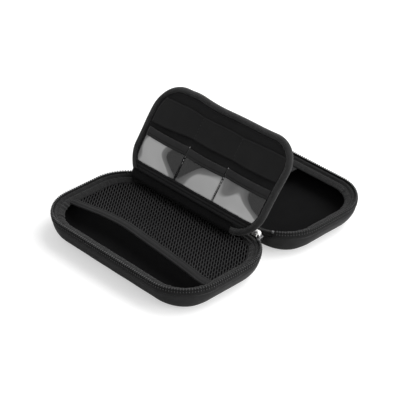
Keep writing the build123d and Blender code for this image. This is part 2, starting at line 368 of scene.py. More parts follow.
# %% [markdown]
# ## Finishes
#
# Black cloth is never one colour. Its threads cast tiny shadows, its dye is a little uneven
# and it catches light at grazing angles. Effects that several finishes share are node
# groups, built once: a plain weave, ribs, a soft uneven tone and a fine grain. The weave
# and the ribs paint the shade of their hollows into the colour; the uneven tone and the
# grain are random tone. Each finish places them with its own values. Sizes are in metres,
# because the coordinates are.

# %% Node groups
def new_group(name, outputs=("Height", "Tone"), **sizes):
    """A node group that takes a vector and named sizes, and puts out plain values."""
    group = bpy.data.node_groups.new(name, "ShaderNodeTree")
    add_socket = group.interface.new_socket
    add_socket("Vector", in_out="INPUT", socket_type="NodeSocketVector")
    for label, value in sizes.items():
        add_socket(label, in_out="INPUT", socket_type="NodeSocketFloat").default_value = value
    for label in outputs:
        add_socket(label, in_out="OUTPUT", socket_type="NodeSocketFloat")
    enter, leave = group.nodes.new("NodeGroupInput"), group.nodes.new("NodeGroupOutput")
    return group, enter.outputs, leave.inputs, partial(math_node, group)


def leave_texture(group, leave, height, gain, base):
    """Puts out a height, and a tone that rises with it: painted shade in the hollows of a weave or
    a rib, random tone for a grain.
    """
    rise = math_node(group, "MULTIPLY", height, gain)
    feed(group, height, leave["Height"])
    feed(group, math_node(group, "ADD", rise, base), leave["Tone"])


def place_group(tree, group, vector, **values):
    node = tree.nodes.new("ShaderNodeGroup")
    node.node_tree = group
    fill(tree, node, Vector=vector, **values)
    return node.outputs


def wave(calc, place, pitch):
    """A sine that crosses zero once in every pitch."""
    return calc("SINE", calc("MULTIPLY", place, calc("DIVIDE", math.pi, pitch)))


# %% Plain weave: threads that go over and under each other
weave, enter, leave, calc = new_group("plain_weave", Thread=0.0005)
parts = add_node(weave, "SeparateXYZ", enter["Vector"]).outputs
across = wave(calc, parts[0], enter["Thread"])
along = wave(calc, parts[1], enter["Thread"])
over = calc("GREATER_THAN", calc("MULTIPLY", across, along), 0.0)
warp = calc("MULTIPLY", calc("ABSOLUTE", across), over)
weft = calc("MULTIPLY", calc("ABSOLUTE", along), calc("SUBTRACT", 1.0, over))
# The tone darkens where a thread dips under the other: painted shade in the weave's hollows.
leave_texture(weave, leave, calc("ADD", warp, weft), 0.45, 0.65)

# %% Ribs: parallel ridges, as on elastic and on a zip tape
ribs, enter, leave, calc = new_group("ribs", Pitch=0.0008, Cross=0.0003)
parts = add_node(ribs, "SeparateXYZ", enter["Vector"]).outputs
ridge = calc("ABSOLUTE", wave(calc, parts[1], enter["Pitch"]))
cross = calc("ABSOLUTE", wave(calc, parts[0], enter["Cross"]))
bulge = calc("ADD", calc("MULTIPLY", ridge, 0.7), calc("MULTIPLY", cross, 0.3))
# The tone darkens between the ribs: painted shade in their hollows.
leave_texture(ribs, leave, bulge, 0.5, 0.62)

# %% Uneven tone and fine grain
mottle, enter, leave, calc = new_group("uneven_tone", ("Tone",), Size=0.01, Low=0.8, High=1.2)
cloud = add_node(
    mottle, "TexNoise", Vector=enter["Vector"], Detail=3.0,
    Scale=calc("DIVIDE", 1.0, enter["Size"]))
spread = add_node(
    mottle, "MapRange", Value=cloud.outputs["Fac"], From_Min=0.3, From_Max=0.7,
    To_Min=enter["Low"], To_Max=enter["High"])
feed(mottle, spread.outputs["Result"], leave["Tone"])

grain, enter, leave, calc = new_group("fine_grain", Size=0.0005)
fuzz = add_node(
    grain, "TexNoise", Vector=enter["Vector"], Detail=4.0, Roughness=0.65,
    Scale=calc("DIVIDE", 1.0, enter["Size"]))
leave_texture(grain, leave, fuzz.outputs["Fac"], 0.6, 0.7)
print("shared effects:", [group.name for group in bpy.data.node_groups])


# %% A finish from a colour, a texture group and an uneven tone
def make_finish(name, colour, texture, roughness, relief, sheen=0.0, metallic=0.0, coords="UV",
                turn=(0.0, 0.0, 0.0), tone=(0.012, 0.8, 1.2), coat=0.0, specular=0.12, **values):
    """Principled material: colour times both tones, the texture's (painted shade in weave and rib
    hollows) and the uneven one, relief as a bump in metres.
    """
    finish, tree = paint(name)
    place = add_node(tree, "TexCoord").outputs[coords]
    vector = add_node(tree, "Mapping", Vector=place, Rotation=turn).outputs["Vector"]
    surface = place_group(tree, texture, vector, **values)
    uneven = place_group(tree, mottle, vector, Size=tone[0], Low=tone[1], High=tone[2])
    tint = tree.nodes.new("ShaderNodeVectorMath")
    tint.operation = "SCALE"
    tint.inputs[0].default_value = colour
    feed(tree, math_node(tree, "MULTIPLY", surface["Tone"], uneven["Tone"]), tint.inputs["Scale"])
    bump = add_node(tree, "Bump", Strength=0.8, Distance=relief, Height=surface["Height"])
    rough = add_node(
        tree, "MapRange", Value=surface["Height"],
        To_Min=max(0.02, roughness - 0.08), To_Max=min(1.0, roughness + 0.08))
    fill(
        tree, tree.nodes["Principled BSDF"], Base_Color=tint.outputs[0], Metallic=metallic,
        Normal=bump.outputs["Normal"], Roughness=rough.outputs["Result"],
        Specular_IOR_Level=specular, Sheen_Weight=sheen, Sheen_Roughness=0.45,
        Coat_Weight=coat, Coat_Roughness=0.3)
    return finish


grainy = {"texture": grain, "coords": "Object"}
wound = {"texture": weave, "roughness": 0.55, "relief": 0.00016,
         "tone": (0.005, 0.7, 1.35), "Thread": 0.00042}
flat_weave = {"texture": weave, "roughness": 0.75, "relief": 0.00006, "Thread": 0.0004}
plated = {**grainy, "relief": 0.000004, "metallic": 1.0, "specular": 0.5, "Size": 0.0006}
yarn = {**grainy, "roughness": 0.5, "relief": 0.00003, "Size": 0.0003}

shell_finish = make_finish(
    "eva_cloth", (0.010, 0.010, 0.0103), roughness=0.48, relief=0.00008, sheen=0.03,
    specular=0.2, tone=(0.006, 0.72, 1.3), Size=0.0007, **grainy)
lining_finish = make_finish(
    "brushed_lining", (0.0025, 0.0025, 0.0027), roughness=0.85, relief=0.0001, sheen=0.03,
    specular=0.05, Size=0.0006, **grainy)
binding_finish = make_finish("woven_binding", (0.0065, 0.0065, 0.0067), sheen=0.10, **wound)
# The page's rolled edge is the rim's woven binding at twice its colour and with more sheen: a lit
# copy of the same tape, painted light on the page's edge.
page_edge_lit_finish = make_finish("page_edge_lit_tape", (0.0130, 0.0130, 0.0133), sheen=0.16, **wound)
tape_finish = make_finish(
    "zip_tape_cloth", (0.0085, 0.0085, 0.0087), ribs, 0.65, 0.00012, sheen=0.04,
    tone=(0.003, 0.6, 1.5), Pitch=0.0006, Cross=0.0003)
teeth_finish = make_finish(
    "coil_plastic", (0.018, 0.018, 0.0186), roughness=0.36, relief=0.00001, coat=0.1,
    specular=0.4, Size=0.0012, **grainy)
nickel_finish = make_finish(
    "nickel_plate", (0.86, 0.855, 0.845), roughness=0.42, tone=(0.004, 0.92, 1.04), **plated)
# Nickel at a seventh of the bright nickel's colour: painted shade on the slider's lower plate and
# bridge, which are the same plated casting as its bright top. The pull and the end stops are drawn
# in this darker metal too.
dark_shaded_nickel_finish = make_finish(
    "dark_shaded_nickel", (0.12, 0.12, 0.123), roughness=0.3, tone=(0.004, 0.9, 1.05), **plated)
mesh_finish = make_finish(
    "knit_mesh", (0.0135, 0.0135, 0.0138), roughness=0.6, relief=0.00004, sheen=0.05,
    Size=0.0004, **grainy)
elastic_finish = make_finish(
    "ribbed_elastic", (0.0085, 0.0085, 0.0088), ribs, 0.6, 0.00008, sheen=0.05,
    Pitch=0.0009, Cross=0.00035)
loop_finish = make_finish(
    "wide_elastic", (0.0068, 0.0068, 0.007), ribs, 0.62, 0.00005, sheen=0.03,
    Pitch=0.0005, Cross=0.00035)
page_finish = make_finish(
    "page_cloth", (0.006, 0.006, 0.0063), sheen=0.03, coords="Object",
    turn=(-PAGE_TILT, 0.0, 0.0), **flat_weave)
hem_finish = make_finish(
    "hem_tape", (0.0150, 0.0150, 0.0154), ribs, 0.6, 0.00007, sheen=0.08,
    Pitch=0.0006, Cross=0.0003)
flap_finish = make_finish(
    "flap_cloth", (0.003, 0.003, 0.0032), sheen=0.02, specular=0.06, **flat_weave)
thread_finish = make_finish("sewing_thread", (0.030, 0.030, 0.031), **yarn)
# Near-white thread, used on the upper seam stitches: a painted glint where the film's edge catches
# the light at the needle holes.
painted_glint_thread_finish = make_finish("painted_glint_thread", (0.62, 0.62, 0.62), **yarn)

# %% Clear film: a painted reflection of soft wavy glare in its colour, and a haze that rises with it, decide how much of the board shows through
vinyl_finish, tree = paint("clear_film")
flat_place = add_node(tree, "TexCoord").outputs["UV"]
waves = add_node(tree, "TexNoise")
waves.noise_dimensions = "4D"
fill(tree, waves, Vector=flat_place, W=3.0, Scale=34.0, Detail=0.0, Distortion=0.5)
place = add_node(tree, "SeparateXYZ", flat_place)
# The painted glare grows towards the bottom of each window.
painted_glare_low = math_node(tree, "MULTIPLY", math_node(tree, "SUBTRACT", 24 * MM, place.outputs[1]), 9.0)
level = math_node(tree, "ADD", waves.outputs["Fac"], painted_glare_low)


def film_curve(title, stops):
    """A ramp from the level of the painted glare to a grey value, with soft steps between flat
    parts.
    """
    ramp = tree.nodes.new("ShaderNodeValToRGB")
    ramp.label = title
    ramp.color_ramp.interpolation = "EASE"
    while len(ramp.color_ramp.elements) < len(stops):
        ramp.color_ramp.elements.new(0.5)
    for element, (at, value) in zip(ramp.color_ramp.elements, stops):
        element.position = at
        element.color = (value, value, value, 1)
    tree.links.new(level, ramp.inputs["Fac"])
    return ramp.outputs["Color"]


# Painted reflection: the film's colour turns light grey in the wavy glare patches, and its haze,
# the alpha, rises with them.
painted_glare = [(0.0, 0.034), (0.42, 0.042), (0.46, 0.16), (0.53, 0.22), (0.58, 0.52), (1.0, 0.62)]
haze = [(0.0, 0.84), (0.42, 0.84), (0.46, 0.86), (0.53, 0.86), (0.58, 0.9), (1.0, 0.9)]
swell = add_node(tree, "Bump", Strength=0.4, Distance=0.0005, Height=waves.outputs["Fac"])
fill(
    tree, tree.nodes["Principled BSDF"], Base_Color=film_curve("painted_glare", painted_glare),
    Alpha=film_curve("haze", haze), Normal=swell.outputs["Normal"], Roughness=0.15, IOR=1.45,
    Specular_IOR_Level=0.3)

# %% [markdown]
# ## Moulded shells
#
# Each half is foam pressed in a mould with its cloth face, so it has no sharp edge: a small
# bead at the rim, a crease below it, and a base that rolls a long way under. One profile
# carried round the outline gives the whole skin, and two flat faces close the floor.

# %% Shells
def in_mm(rows):
    return [mm(*row) for row in rows]


shell_rows = in_mm([
    (21.0, 0.0), (14.2, 0.0), (12.4, 0.12), (10.2, 0.6), (8.0, 1.4), (6.0, 2.6), (4.3, 4.1),
    (2.9, 6.0), (1.9, 8.2), (1.25, 10.4), (0.9, 12.4), (0.7, 13.6), (0.75, 14.1), (1.0, 14.5),
    (1.4, 14.9), (2.2, 15.2), (3.4, 15.2), (4.2, 10.0), (6.0, 6.6), (10.0, 3.9), (16.0, 3.0),
    (21.0, 3.0)])
INNER_ROWS = 6
WALL_TOP = 12.5


def base_tuck(run, height, front):
    """How far the base draws in below the walls: least at the near corner, most at the ends."""
    heading = outline_point(run, *CASE)[1]
    out_x, out_y = math.sin(heading), -math.cos(heading)
    if front:
        out_y = -out_y
    near = max(0.0, (out_x - out_y) / math.sqrt(2)) ** 6
    most = 1.2 + (1.8 if front else 2.6) * max(out_x, 0.0) ** 2 + 1.3 * max(-out_x, 0.0) ** 2
    share = max(0.0, 1 - height / WALL_TOP) ** 1.2
    return (most * (1 - near) - 0.8 * near) * share


def close_floor(bm, *heights):
    """Fills the flat loops that a sweep leaves open at these heights."""
    for height in heights:
        rim = [e for e in bm.edges
               if e.is_boundary and all(abs(v.co.z - height) < 1e-6 for v in e.verts)]
        bmesh.ops.edgeloop_fill(bm, edges=rim)


for half in HALVES:
    def shell_shape(run):
        front = half[2]
        slack = 0.22 * ripple(5, run, 30 * MM if front else 0.0, size=16 * MM)
        pairs = []
        for row, (inset, height) in enumerate(shell_rows):
            if row < len(shell_rows) - INNER_ROWS and height < WALL_TOP * MM:
                inset += (base_tuck(run, height / MM, front) + slack) * MM
            pairs.append((inset, height))
        return pairs

    bm = swept(outline_frames(*CASE, 2.5 * MM), shell_shape, closed_shape=False)
    close_floor(bm, 0.0, 3.0 * MM)
    skin = half_piece(half, "_shell_skin", bm, shell_finish, "eva_shell", "_shell")
    print(skin.name, len(skin.data.polygons), "faces")

# %% [markdown]
# ## Lining
#
# The lining is thin brushed knit laid over the inside of the shell. It follows the floor
# smoothly and gathers into small folds near the rim where the outline bends.

# %% How strongly an outline bends
def bend_share(run, long_x, long_y, radius):
    """0 on the straights and 1 in the middle of a corner."""
    half_x, half_y = long_x / 2 - radius, long_y / 2 - radius
    quarter = math.pi * radius / 2
    edge = half_x
    share = 0.0
    for length in (2 * half_y, 2 * half_x, 2 * half_y, 0.0):
        middle = edge + quarter / 2
        share = max(share, 1 - abs(run - middle) / (quarter * 0.75))
        edge += quarter + length
    return max(0.0, min(1.0, share * 1.6))


def lining_shape(run):
    bend = bend_share(run, *CASE)
    fold = ripple(7, run, size=3.2 * MM) * (0.25 + 0.55 * bend) * MM
    slow = ripple(8, run, size=14 * MM) * 0.4 * MM
    rows = [
        (31.0, 3.05), (16.0, 3.05), (10.1, 3.95), (6.1, 6.65), (4.3, 10.0), (3.5, 15.1),
        (4.5, 15.1), (5.2, 12.0), (5.7, 9.6), (7.4, 7.2), (10.6, 4.9), (16.0, 4.0),
        (22.0, 3.85), (31.0, 3.8)]
    pairs = []
    for inset, height in rows:
        folded = fold if 5 < height < 15.05 and inset > 4.4 else 0
        loose = slow if 6 < height < 13 and inset > 5 else 0
        pairs.append((inset * MM + folded + loose, height * MM))
    return pairs


for half in HALVES:
    bm = swept(outline_frames(*CASE, 1.4 * MM), lining_shape, closed_shape=False)
    close_floor(bm, 3.05 * MM, 3.8 * MM)
    lining = half_piece(half, "_lining_cloth", bm, lining_finish, "lining", "_lining")

# %% [markdown]
# ## Rolled bindings
#
# A wide woven tape is folded over the rim and slopes down towards the inside. It is fullest
# near the zip, narrower along the spine, and puckers where it turns a corner, because its
# inner edge has to be shorter than its outer one.

# %% Bindings on the two rims
def rim_binding_shape(run):
    bend = bend_share(run, *CASE)
    near_spine = min(run, case_length - run)
    narrow = 1 - max(0.0, min(1.0, (near_spine - 50 * MM) / (22 * MM)))
    reach = 9.9 - 2.9 * narrow
    pucker = ripple(3, run, size=2.8 * MM) * (0.3 + 0.8 * bend)
    sway = ripple(4, run, size=11 * MM) * 0.25
    crest = 19.35 - 1.35 * narrow
    low = 0.5 * narrow
    rows = [
        (1.75, 15.25, 0.0), (1.55, 17.2, 0.0), (1.6, 18.5 - narrow, 0.0),
        (1.95, crest - 0.3, 0.1), (2.6, crest, 0.2), (3.3, crest - 0.1, 0.3),
        (3.9, crest - 0.8 + low, 0.4), (4.3, crest - 1.8 + low, 0.5),
        (4.8, crest - 1.85 + low, 0.6), (5.7, crest - 1.7 + low, 0.7),
        (6.7 - low, crest - 2.0 + low, 0.8), (reach - 1.9, 16.6 - low, 0.9),
        (reach - 0.9, 16.0 - low / 2, 1.0), (reach, 15.5, 1.0), (reach - 0.5, 15.2, 0.6),
        (reach - 2.0, 15.3, 0.3), (5.2, 15.25, 0.0), (3.4, 15.25, 0.0)]
    pairs = []
    for inset, height, soft in rows:
        rise = (0.55 * pucker + 0.3 * sway) * soft if height > 15.6 else 0
        pairs.append(mm(inset + 0.7 * pucker * soft + sway * soft, height + rise))
    return pairs


for half in HALVES:
    bm = swept(outline_frames(*CASE, 1.1 * MM), rim_binding_shape)
    half_piece(half, "_rolled_binding", bm, binding_finish, "binding", "_binding")

# %% [markdown]
# ## Zip chain
#
# The chain is the piece of a case that takes most skill. The tape stands up from the rim, a
# cord runs along its top, and the teeth grip that cord at an even pitch. The rear row sits
# half a pitch along, so that the two rows mesh when the case is shut. One small bevelled
# tooth is copied along the outline, because a tooth repeated this often must stay light.

# %% Where the zip runs
TOOTH_PITCH = 2.0 * MM
CORD_INSET = 0.9 * MM
ZIP_START = 61.5 * MM
corner_x = CASE_X / 2 - CASE_R
zip_turn = math.asin((ZIP_START - corner_x) / (CASE_R - CORD_INSET))
zip_begin = corner_x + CASE_R * zip_turn
zip_end = case_length - zip_begin
print("zip from", round(zip_begin / MM, 1), "to", round(zip_end / MM, 1), "mm round the rim")

# %% Tape and cord
tape_rows = in_mm([
    (1.35, 14.9), (0.75, 14.75), (0.35, 15.1), (-0.05, 15.9), (-0.2, 16.9), (-0.1, 17.9),
    (0.15, 18.7), (0.6, 19.1), (1.35, 19.2), (1.5, 17.6), (1.5, 16.0)])
cord_rows = in_mm([
    (0.45, 19.05), (0.25, 19.5), (0.3, 19.95), (0.6, 20.35), (1.0, 20.4), (1.4, 20.3),
    (1.7, 19.95), (1.75, 19.5), (1.5, 19.05)])
for half in HALVES:
    for title, rows, *solids in (("_tape_cloth", tape_rows, "_zip_tape"), ("_zip_cord", cord_rows)):
        frames = outline_frames(*CASE, 2.0 * MM, zip_begin, zip_end)
        bm = swept(frames, lambda run: rows, closed_path=False)
        half_piece(half, title, bm, tape_finish, "tape", *solids)

# %% One tooth: a block with a rounded head and one small foot outside
STILL = Matrix.Identity(4)


def soften(bm, edges, offset, segments):
    bmesh.ops.bevel(bm, geom=edges, offset=offset, offset_type="OFFSET", segments=segments,
                    profile=0.5, affect="EDGES", material=-1)


def add_block(bm, size, middle, rounding, segments=1, turn=STILL):
    """A bevelled block in place, with its own matrix. Sizes and rounding are in millimetres."""
    place = turn @ Matrix.Translation(mm(*middle)) @ Matrix.Diagonal((*mm(*size), 1.0))
    made = bmesh.ops.create_cube(bm, size=1.0, matrix=place)
    edges = list({e for v in made["verts"] for e in v.link_edges})
    soften(bm, edges, rounding * MM, segments)


tooth = bmesh.new()
add_block(tooth, (0.85, 1.7, 1.15), (0, 0, 20.55), 0.25)
add_block(tooth, (0.8, 0.55, 1.0), (0, -1.05, 18.75), 0.18)
tooth_data = mesh_data("tooth_pattern", tooth)
print("one tooth has", len(tooth_data.polygons), "faces")


# %% Both rows of teeth
def on_the_chain(run):
    """Carries a part made at the origin to the chain's cord, a run along the rim."""
    place, heading = outline_point(run, *CASE)
    spot = frame_spot(place, heading, (CORD_INSET, 0))
    return Matrix.Translation(spot) @ Matrix.Rotation(heading, 4, "Z"), heading


LEAD, END_ROOM = 2.4 * MM, 3.0 * MM
round_corner = CASE_R / (CASE_R - CORD_INSET)
for half in HALVES:
    bm = bmesh.new()
    run = zip_begin + (LEAD + (TOOTH_PITCH / 2 if half[2] else TOOTH_PITCH)) * round_corner
    count = 0
    while run < zip_end - END_ROOM:
        turn, heading = on_the_chain(run)
        add_copy(bm, tooth_data, turn)
        corner = bend_share(run, *CASE) > 0 and abs(math.sin(2 * heading)) > 1e-6
        run += TOOTH_PITCH * (round_corner if corner else 1.0)
        count += 1
    half_piece(half, "_teeth_row", bm, teeth_finish, "teeth", "_zip_teeth")
    print(half[0], "row:", count, "teeth")
bpy.data.meshes.remove(tooth_data)

# %% [markdown]
# ## Mesh pocket
#
# The pocket is an open knit: ribs that lean together in pairs and leave long eyes between
# them. A grid is pulled into that zigzag, every second tie between the ribs is dissolved,
# and the wireframe operator turns the remaining lines into threads with thickness. The
# fabric was cut on the slant, so the ribs run at an angle to the spine. The sheet's area is
# the cut panel's own, worked out before the eyes open. The threads are as wide as they are
# so that the open knit covers at least seven tenths of that panel.

# %% Knit threads
MESH_Z = 15.1 * MM
MESH_TURN = math.radians(40)
RIB, TIE, THREAD = mm(1.86, 2.8, 1.06)
LEAN, FLATTEN = 0.12 * RIB, 0.6
POCKET_FOOT, SPINE_SIDE = -32 * MM, -9.6 * MM


def band_bow(x):
    """Share of the elastic's bow towards the spine, fullest near the middle."""
    return max(0.0, 1 - ((x / MM + 8) / 72) ** 2)


def band_middle(x):
    x = x / MM
    start = min(1.0, max(0.0, (x + 74) / 30))
    pull = 1.9 * start * start * (3 - 2 * start) + 2.6 * math.exp(-((x + 24) / 26) ** 2)
    return (-67.4 + 3.2 * band_bow(x * MM) + pull - 1.2 * max(0.0, (x - 20) / 50)) * MM


def inside_half(x, y, inset):
    """True if a point of the front half lies inside its outline, drawn in by an inset."""
    half_x, half_y, radius = CASE_X / 2 - inset, CASE_Y / 2 - inset, CASE_R - inset
    dx = max(abs(x) - (half_x - radius), 0)
    dy = max(abs(y + HALF_MIDDLE) - (half_y - radius), 0)
    return math.hypot(dx, dy) < radius


def in_panel(x, y):
    above = band_middle(x) - 0.5 * MM < y < SPINE_SIDE
    return above and inside_half(x, y, 8.6 * MM)


cols, rows = 94, 56
bm = grid(cols, rows)
for v in bm.verts:
    i, j = round((v.co.x + 0.5) * cols), round((v.co.y + 0.5) * rows)
    lean = LEAN if (i + j) % 2 else -LEAN
    v.co = Vector(((i - cols / 2) * RIB + lean, (j - rows / 2) * TIE, 0))
slant = Matrix.Translation((0, -39 * MM, 0)) @ Matrix.Rotation(MESH_TURN, 4, "Z")
bmesh.ops.transform(bm, matrix=slant, verts=bm.verts)
outside = [f for f in bm.faces if not in_panel(*f.calc_center_median().xy)]
bmesh.ops.delete(bm, geom=outside, context="FACES")
panel_area = sum(f.calc_area() for f in bm.faces)
print("knit panel is cut", round(panel_area / MM ** 2), "square mm")

# %% Open the eyes and give the threads their thickness
across_ribs = Vector((math.cos(MESH_TURN), math.sin(MESH_TURN), 0))


def crosses_ribs(edge):
    along = (edge.verts[1].co - edge.verts[0].co).normalized()
    return abs(along.dot(across_ribs)) > 0.9


ties = [e for e in bm.edges if len(e.link_faces) == 2 and e.calc_length() > RIB]
level = [e for e in ties if crosses_ribs(e)]
bmesh.ops.dissolve_edges(bm, edges=level, use_verts=False)
print("knit has", len(bm.faces), "eyes")
bmesh.ops.wireframe(bm, faces=bm.faces, thickness=THREAD, offset=0.0, use_replace=True,
                    use_boundary=True, use_even_offset=False)
for v in bm.verts:
    x, y = v.co.x, v.co.y
    v.co.z = v.co.z * FLATTEN + MESH_Z + 0.25 * MM * ripple(11, x, y, size=18 * MM)
    if y < POCKET_FOOT:
        reach = max(0.0, 1 + (y + 62 * MM) / (-30 * MM))
        v.co.z += 0.8 * MM * band_bow(x) * reach ** 2
mesh_pocket = finish_piece(
    "mesh_pocket_knit", bm, "front_case", mesh_finish, "mesh", "front_mesh_pocket")
print("knit faces", len(mesh_pocket.data.polygons))

# %% [markdown]
# ## Elastic edge of the pocket
#
# The mouth of the pocket is held by a folded elastic with raised lengthwise ribs. Pulled
# between the two rims it bows a few millimetres towards the spine.

# %% Pocket elastic
band_rows = in_mm([
    (-3.6, 15.5), (-3.7, 16.0), (-3.3, 16.45), (-2.6, 16.5), (-2.1, 16.25), (-1.6, 16.6),
    (-0.2, 16.7), (1.2, 16.6), (1.7, 16.3), (2.2, 16.6), (3.0, 16.55), (3.6, 16.2),
    (3.75, 15.8), (3.4, 15.35), (0.0, 15.3)])


def band_shape(run):
    lift = 0.9 * MM * band_bow(run - 73 * MM)
    return [(inset, height + lift) for inset, height in band_rows]


bm = swept(path_along(range(-73, 74, 2), band_middle), band_shape, closed_path=False)
finish_piece("pocket_elastic", bm, "front_case", elastic_finish, "elastic", "front_mesh_band")

# %% [markdown]
# ## Flap that carries the page
#
# One piece of cloth starts under the binding on the spine side, folds round the lower edge
# of the page and is sewn to its front. It is one sheet, drawn in place from the case to the
# page as it stands open, and it rides on no body.

# %% Flap
WRAP = 2.75 * MM
FLAP_STEPS, FLAP_STEP = 53, 2 * MM
case_side = [(-9.2, 15.6), (-10.2, 16.3), (-12.0, 17.3), (-13.4, 17.95)]
section = [Vector((0, *pair)) for pair in in_mm(case_side)]
for step in range(11):
    angle = math.radians(270 - 127.5 * step / 10)
    round_edge = Vector((0, math.cos(angle), math.sin(angle))) * WRAP
    section.append(Vector((0, PAGE_ORIGIN.y, PAGE_ORIGIN.z)) + round_edge)
up_page = Vector((0, math.cos(PAGE_TILT), math.sin(PAGE_TILT)))
for height in mm(1.2, 2.4, 3.6, 4.7):
    section.append(section[14] + up_page * height)
bm = bmesh.new()
line = [bm.verts.new(spot) for spot in section]
edges = [bm.edges.new(pair) for pair in zip(line, line[1:])]
bmesh.ops.spin(bm, geom=line + edges, cent=(0, 0, 0), axis=(1, 0, 0), dvec=(FLAP_STEP, 0, 0),
               angle=0.0, steps=FLAP_STEPS, use_duplicate=False)
map_uv(bm, lambda spot: (spot.x, spot.z + spot.y))
for v in bm.verts:
    v.co.x += PAGE_ORIGIN.x - 59 * MM
    v.co.z += 0.15 * MM * ripple(21, v.co.x, v.co.y, size=9 * MM)
bmesh.ops.recalc_face_normals(bm, faces=bm.faces)
bmesh.ops.solidify(bm, geom=bm.faces, thickness=0.6 * MM)
page_flap = finish_piece(
    "page_flap", bm, None, flap_finish, "page_cloth", "divider_flap", "front_flap_root")
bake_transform(page_flap)

# %% [markdown]
# ## The divider page
#
# The page is a padded board in a rolled binding. Its front carries a wide elastic sewn into
# three loops, three clear pockets with folded hems, and a pleated strip below them. All of
# them are drawn on the page as if it lay flat, with its lower edge at zero, and the same
# matrix then stands them up. A sheet starts as a grid and gets its thickness last.

# %% The page as a drawing board
page_middle = Matrix.Translation((0, PAGE_Y / 2 - PAGE_EDGE, 0))


def page_half(height, inset):
    """Half the width of the page at a height above its lower edge, drawn in by an inset."""
    radius = PAGE_R - inset
    over = max(0.0, height - (PAGE_Y - PAGE_R), PAGE_R - height)
    return PAGE_X / 2 - PAGE_R + math.sqrt(max(radius ** 2 - over ** 2, 0.0))


def ease(value):
    value = min(1.0, max(0.0, value))
    return value * value * (3 - 2 * value)


def settle_page(bm):
    """The lean of a soft board: it bulges, draws in and sways by about a millimetre."""
    for v in bm.verts:
        x, y = v.co.x / MM, v.co.y / MM
        high_right = ease((x - 30) / 35) * ease((y - 30) / 35)
        left_middle = ease((-x - 45) / 20) * math.exp(-((y - 48) / 14) ** 2)
        left_low = ease((-x - 40) / 25) * ease((24 - y) / 18)
        crest = 0.8 * math.exp(-((x + 33) / 9) ** 2) - 0.6 * math.exp(-((x + 8) / 14) ** 2)
        lean_back = 0.4 * ease((-x - 20) / 40) * ease((y - 30) / 40)
        sway = 0.25 * ease((y - 15) / 30) * (0.5 + 0.5 * math.sin(x / 17))
        v.co.x += (1.3 * high_right - 1.0 * left_middle + 1.8 * left_low) * MM
        v.co.y += (1.1 * high_right + ease((y - 52) / 20) * crest) * MM
        v.co.z -= (lean_back + sway) * MM


def page_piece(name, bm, finish, slot, *nodes, middle=False):
    """Finishes a piece drawn on the page. middle=True is for one drawn about the page's centre."""
    if middle:
        bmesh.ops.transform(bm, matrix=page_middle, verts=bm.verts)
    settle_page(bm)
    return finish_piece(name, bm, "divider", finish, slot, *nodes, place=page_place)


def arch(along, power=0.6):
    """A soft hump between 0 and 1."""
    return max(0.0, math.sin(math.pi * min(1.0, max(0.0, along)))) ** power


def page_sheet(cols, rows, low, high, limits, depth, thickness):
    """A sheet on the page. limits gives its two sides at a height, depth its front."""
    bm = grid(cols, rows)
    for v in bm.verts:
        height = low + (high - low) * (v.co.y + 0.5)
        left, right = limits(height)
        x = left + (right - left) * (v.co.x + 0.5)
        v.co = Vector((x, height - PAGE_EDGE, depth(x, height) - thickness))
    map_uv(bm, lambda spot: spot.xy)
    thicken(bm, thickness)
    return bm


# %% Padded board
def core_shape(run):
    puff = 0.12 * MM * ripple(31, run, size=16 * MM)
    rows = [(23.0, -1.35), (14.0, -1.4), (7.0, -1.3), (2.5, -1.15), (1.5, -0.8), (1.25, 0.0),
            (1.5, 0.8), (2.5, 1.1), (5.0, 1.15), (7.0, 1.25), (14.0, 1.3), (23.0, 1.3)]
    return [(inset * MM, height * MM + (puff if inset > 5 else 0)) for inset, height in rows]


bm = swept(outline_frames(*PAGE, 2.0 * MM), core_shape, closed_shape=False)
bmesh.ops.holes_fill(bm, edges=[e for e in bm.edges if e.is_boundary], sides=0)
board = page_piece("page_board", bm, page_finish, "page_cloth", "divider_core", middle=True)

# %% Rolled edge of the page
def page_binding_shape(run):
    bend = bend_share(run, *PAGE)
    pucker = ripple(33, run, size=2.4 * MM) * (0.08 + 0.5 * bend)
    rows = [
        (4.7, 1.2, 1.0), (4.75, 1.7, 1.0), (4.2, 2.05, 0.8), (3.2, 2.3, 0.5), (2.2, 2.35, 0.2),
        (1.1, 2.0, 0.1), (0.3, 1.2, 0.0), (-0.05, 0.0, 0.0), (0.3, -1.2, 0.0), (1.1, -2.0, 0.1),
        (2.2, -2.35, 0.2), (3.2, -2.3, 0.5), (4.2, -2.05, 0.8), (4.75, -1.7, 1.0),
        (4.7, -1.2, 1.0), (1.5, -0.9, 0.0), (1.5, 0.9, 0.0)]
    pairs = []
    for inset, height, soft in rows:
        rise = 0.25 * pucker * soft if height > 1.5 else 0
        pairs.append(mm(inset + 0.6 * pucker * soft, height + rise))
    return pairs


bm = swept(outline_frames(*PAGE, 1.1 * MM), page_binding_shape)
page_piece("page_rolled_edge", bm, page_edge_lit_finish, "binding", "divider_binding", middle=True)

# %% Elastic loops
LOOP_LOW, LOOP_HIGH = mm(46.7, 65.0)
spans = [-62.5 * MM, *SEAMS, 65.0 * MM]


def span_arch(x):
    for left, right in zip(spans, spans[1:]):
        if left <= x <= right:
            return arch((x - left) / (right - left))
    return 0.0


def loop_depth(x, height):
    edge = min(height - LOOP_LOW, LOOP_HIGH - height) / (2 * MM)
    lip = 0.28 * MM * max(0.0, 1 - edge / 0.7)
    return (1.95 + 0.85 * span_arch(x)) * MM + lip + 0.12 * MM * ripple(35, x, height, size=12 * MM)


def loop_sides(h):
    return -page_half(h, 7.6 * MM) - 0.6 * MM, page_half(h, 5.0 * MM)


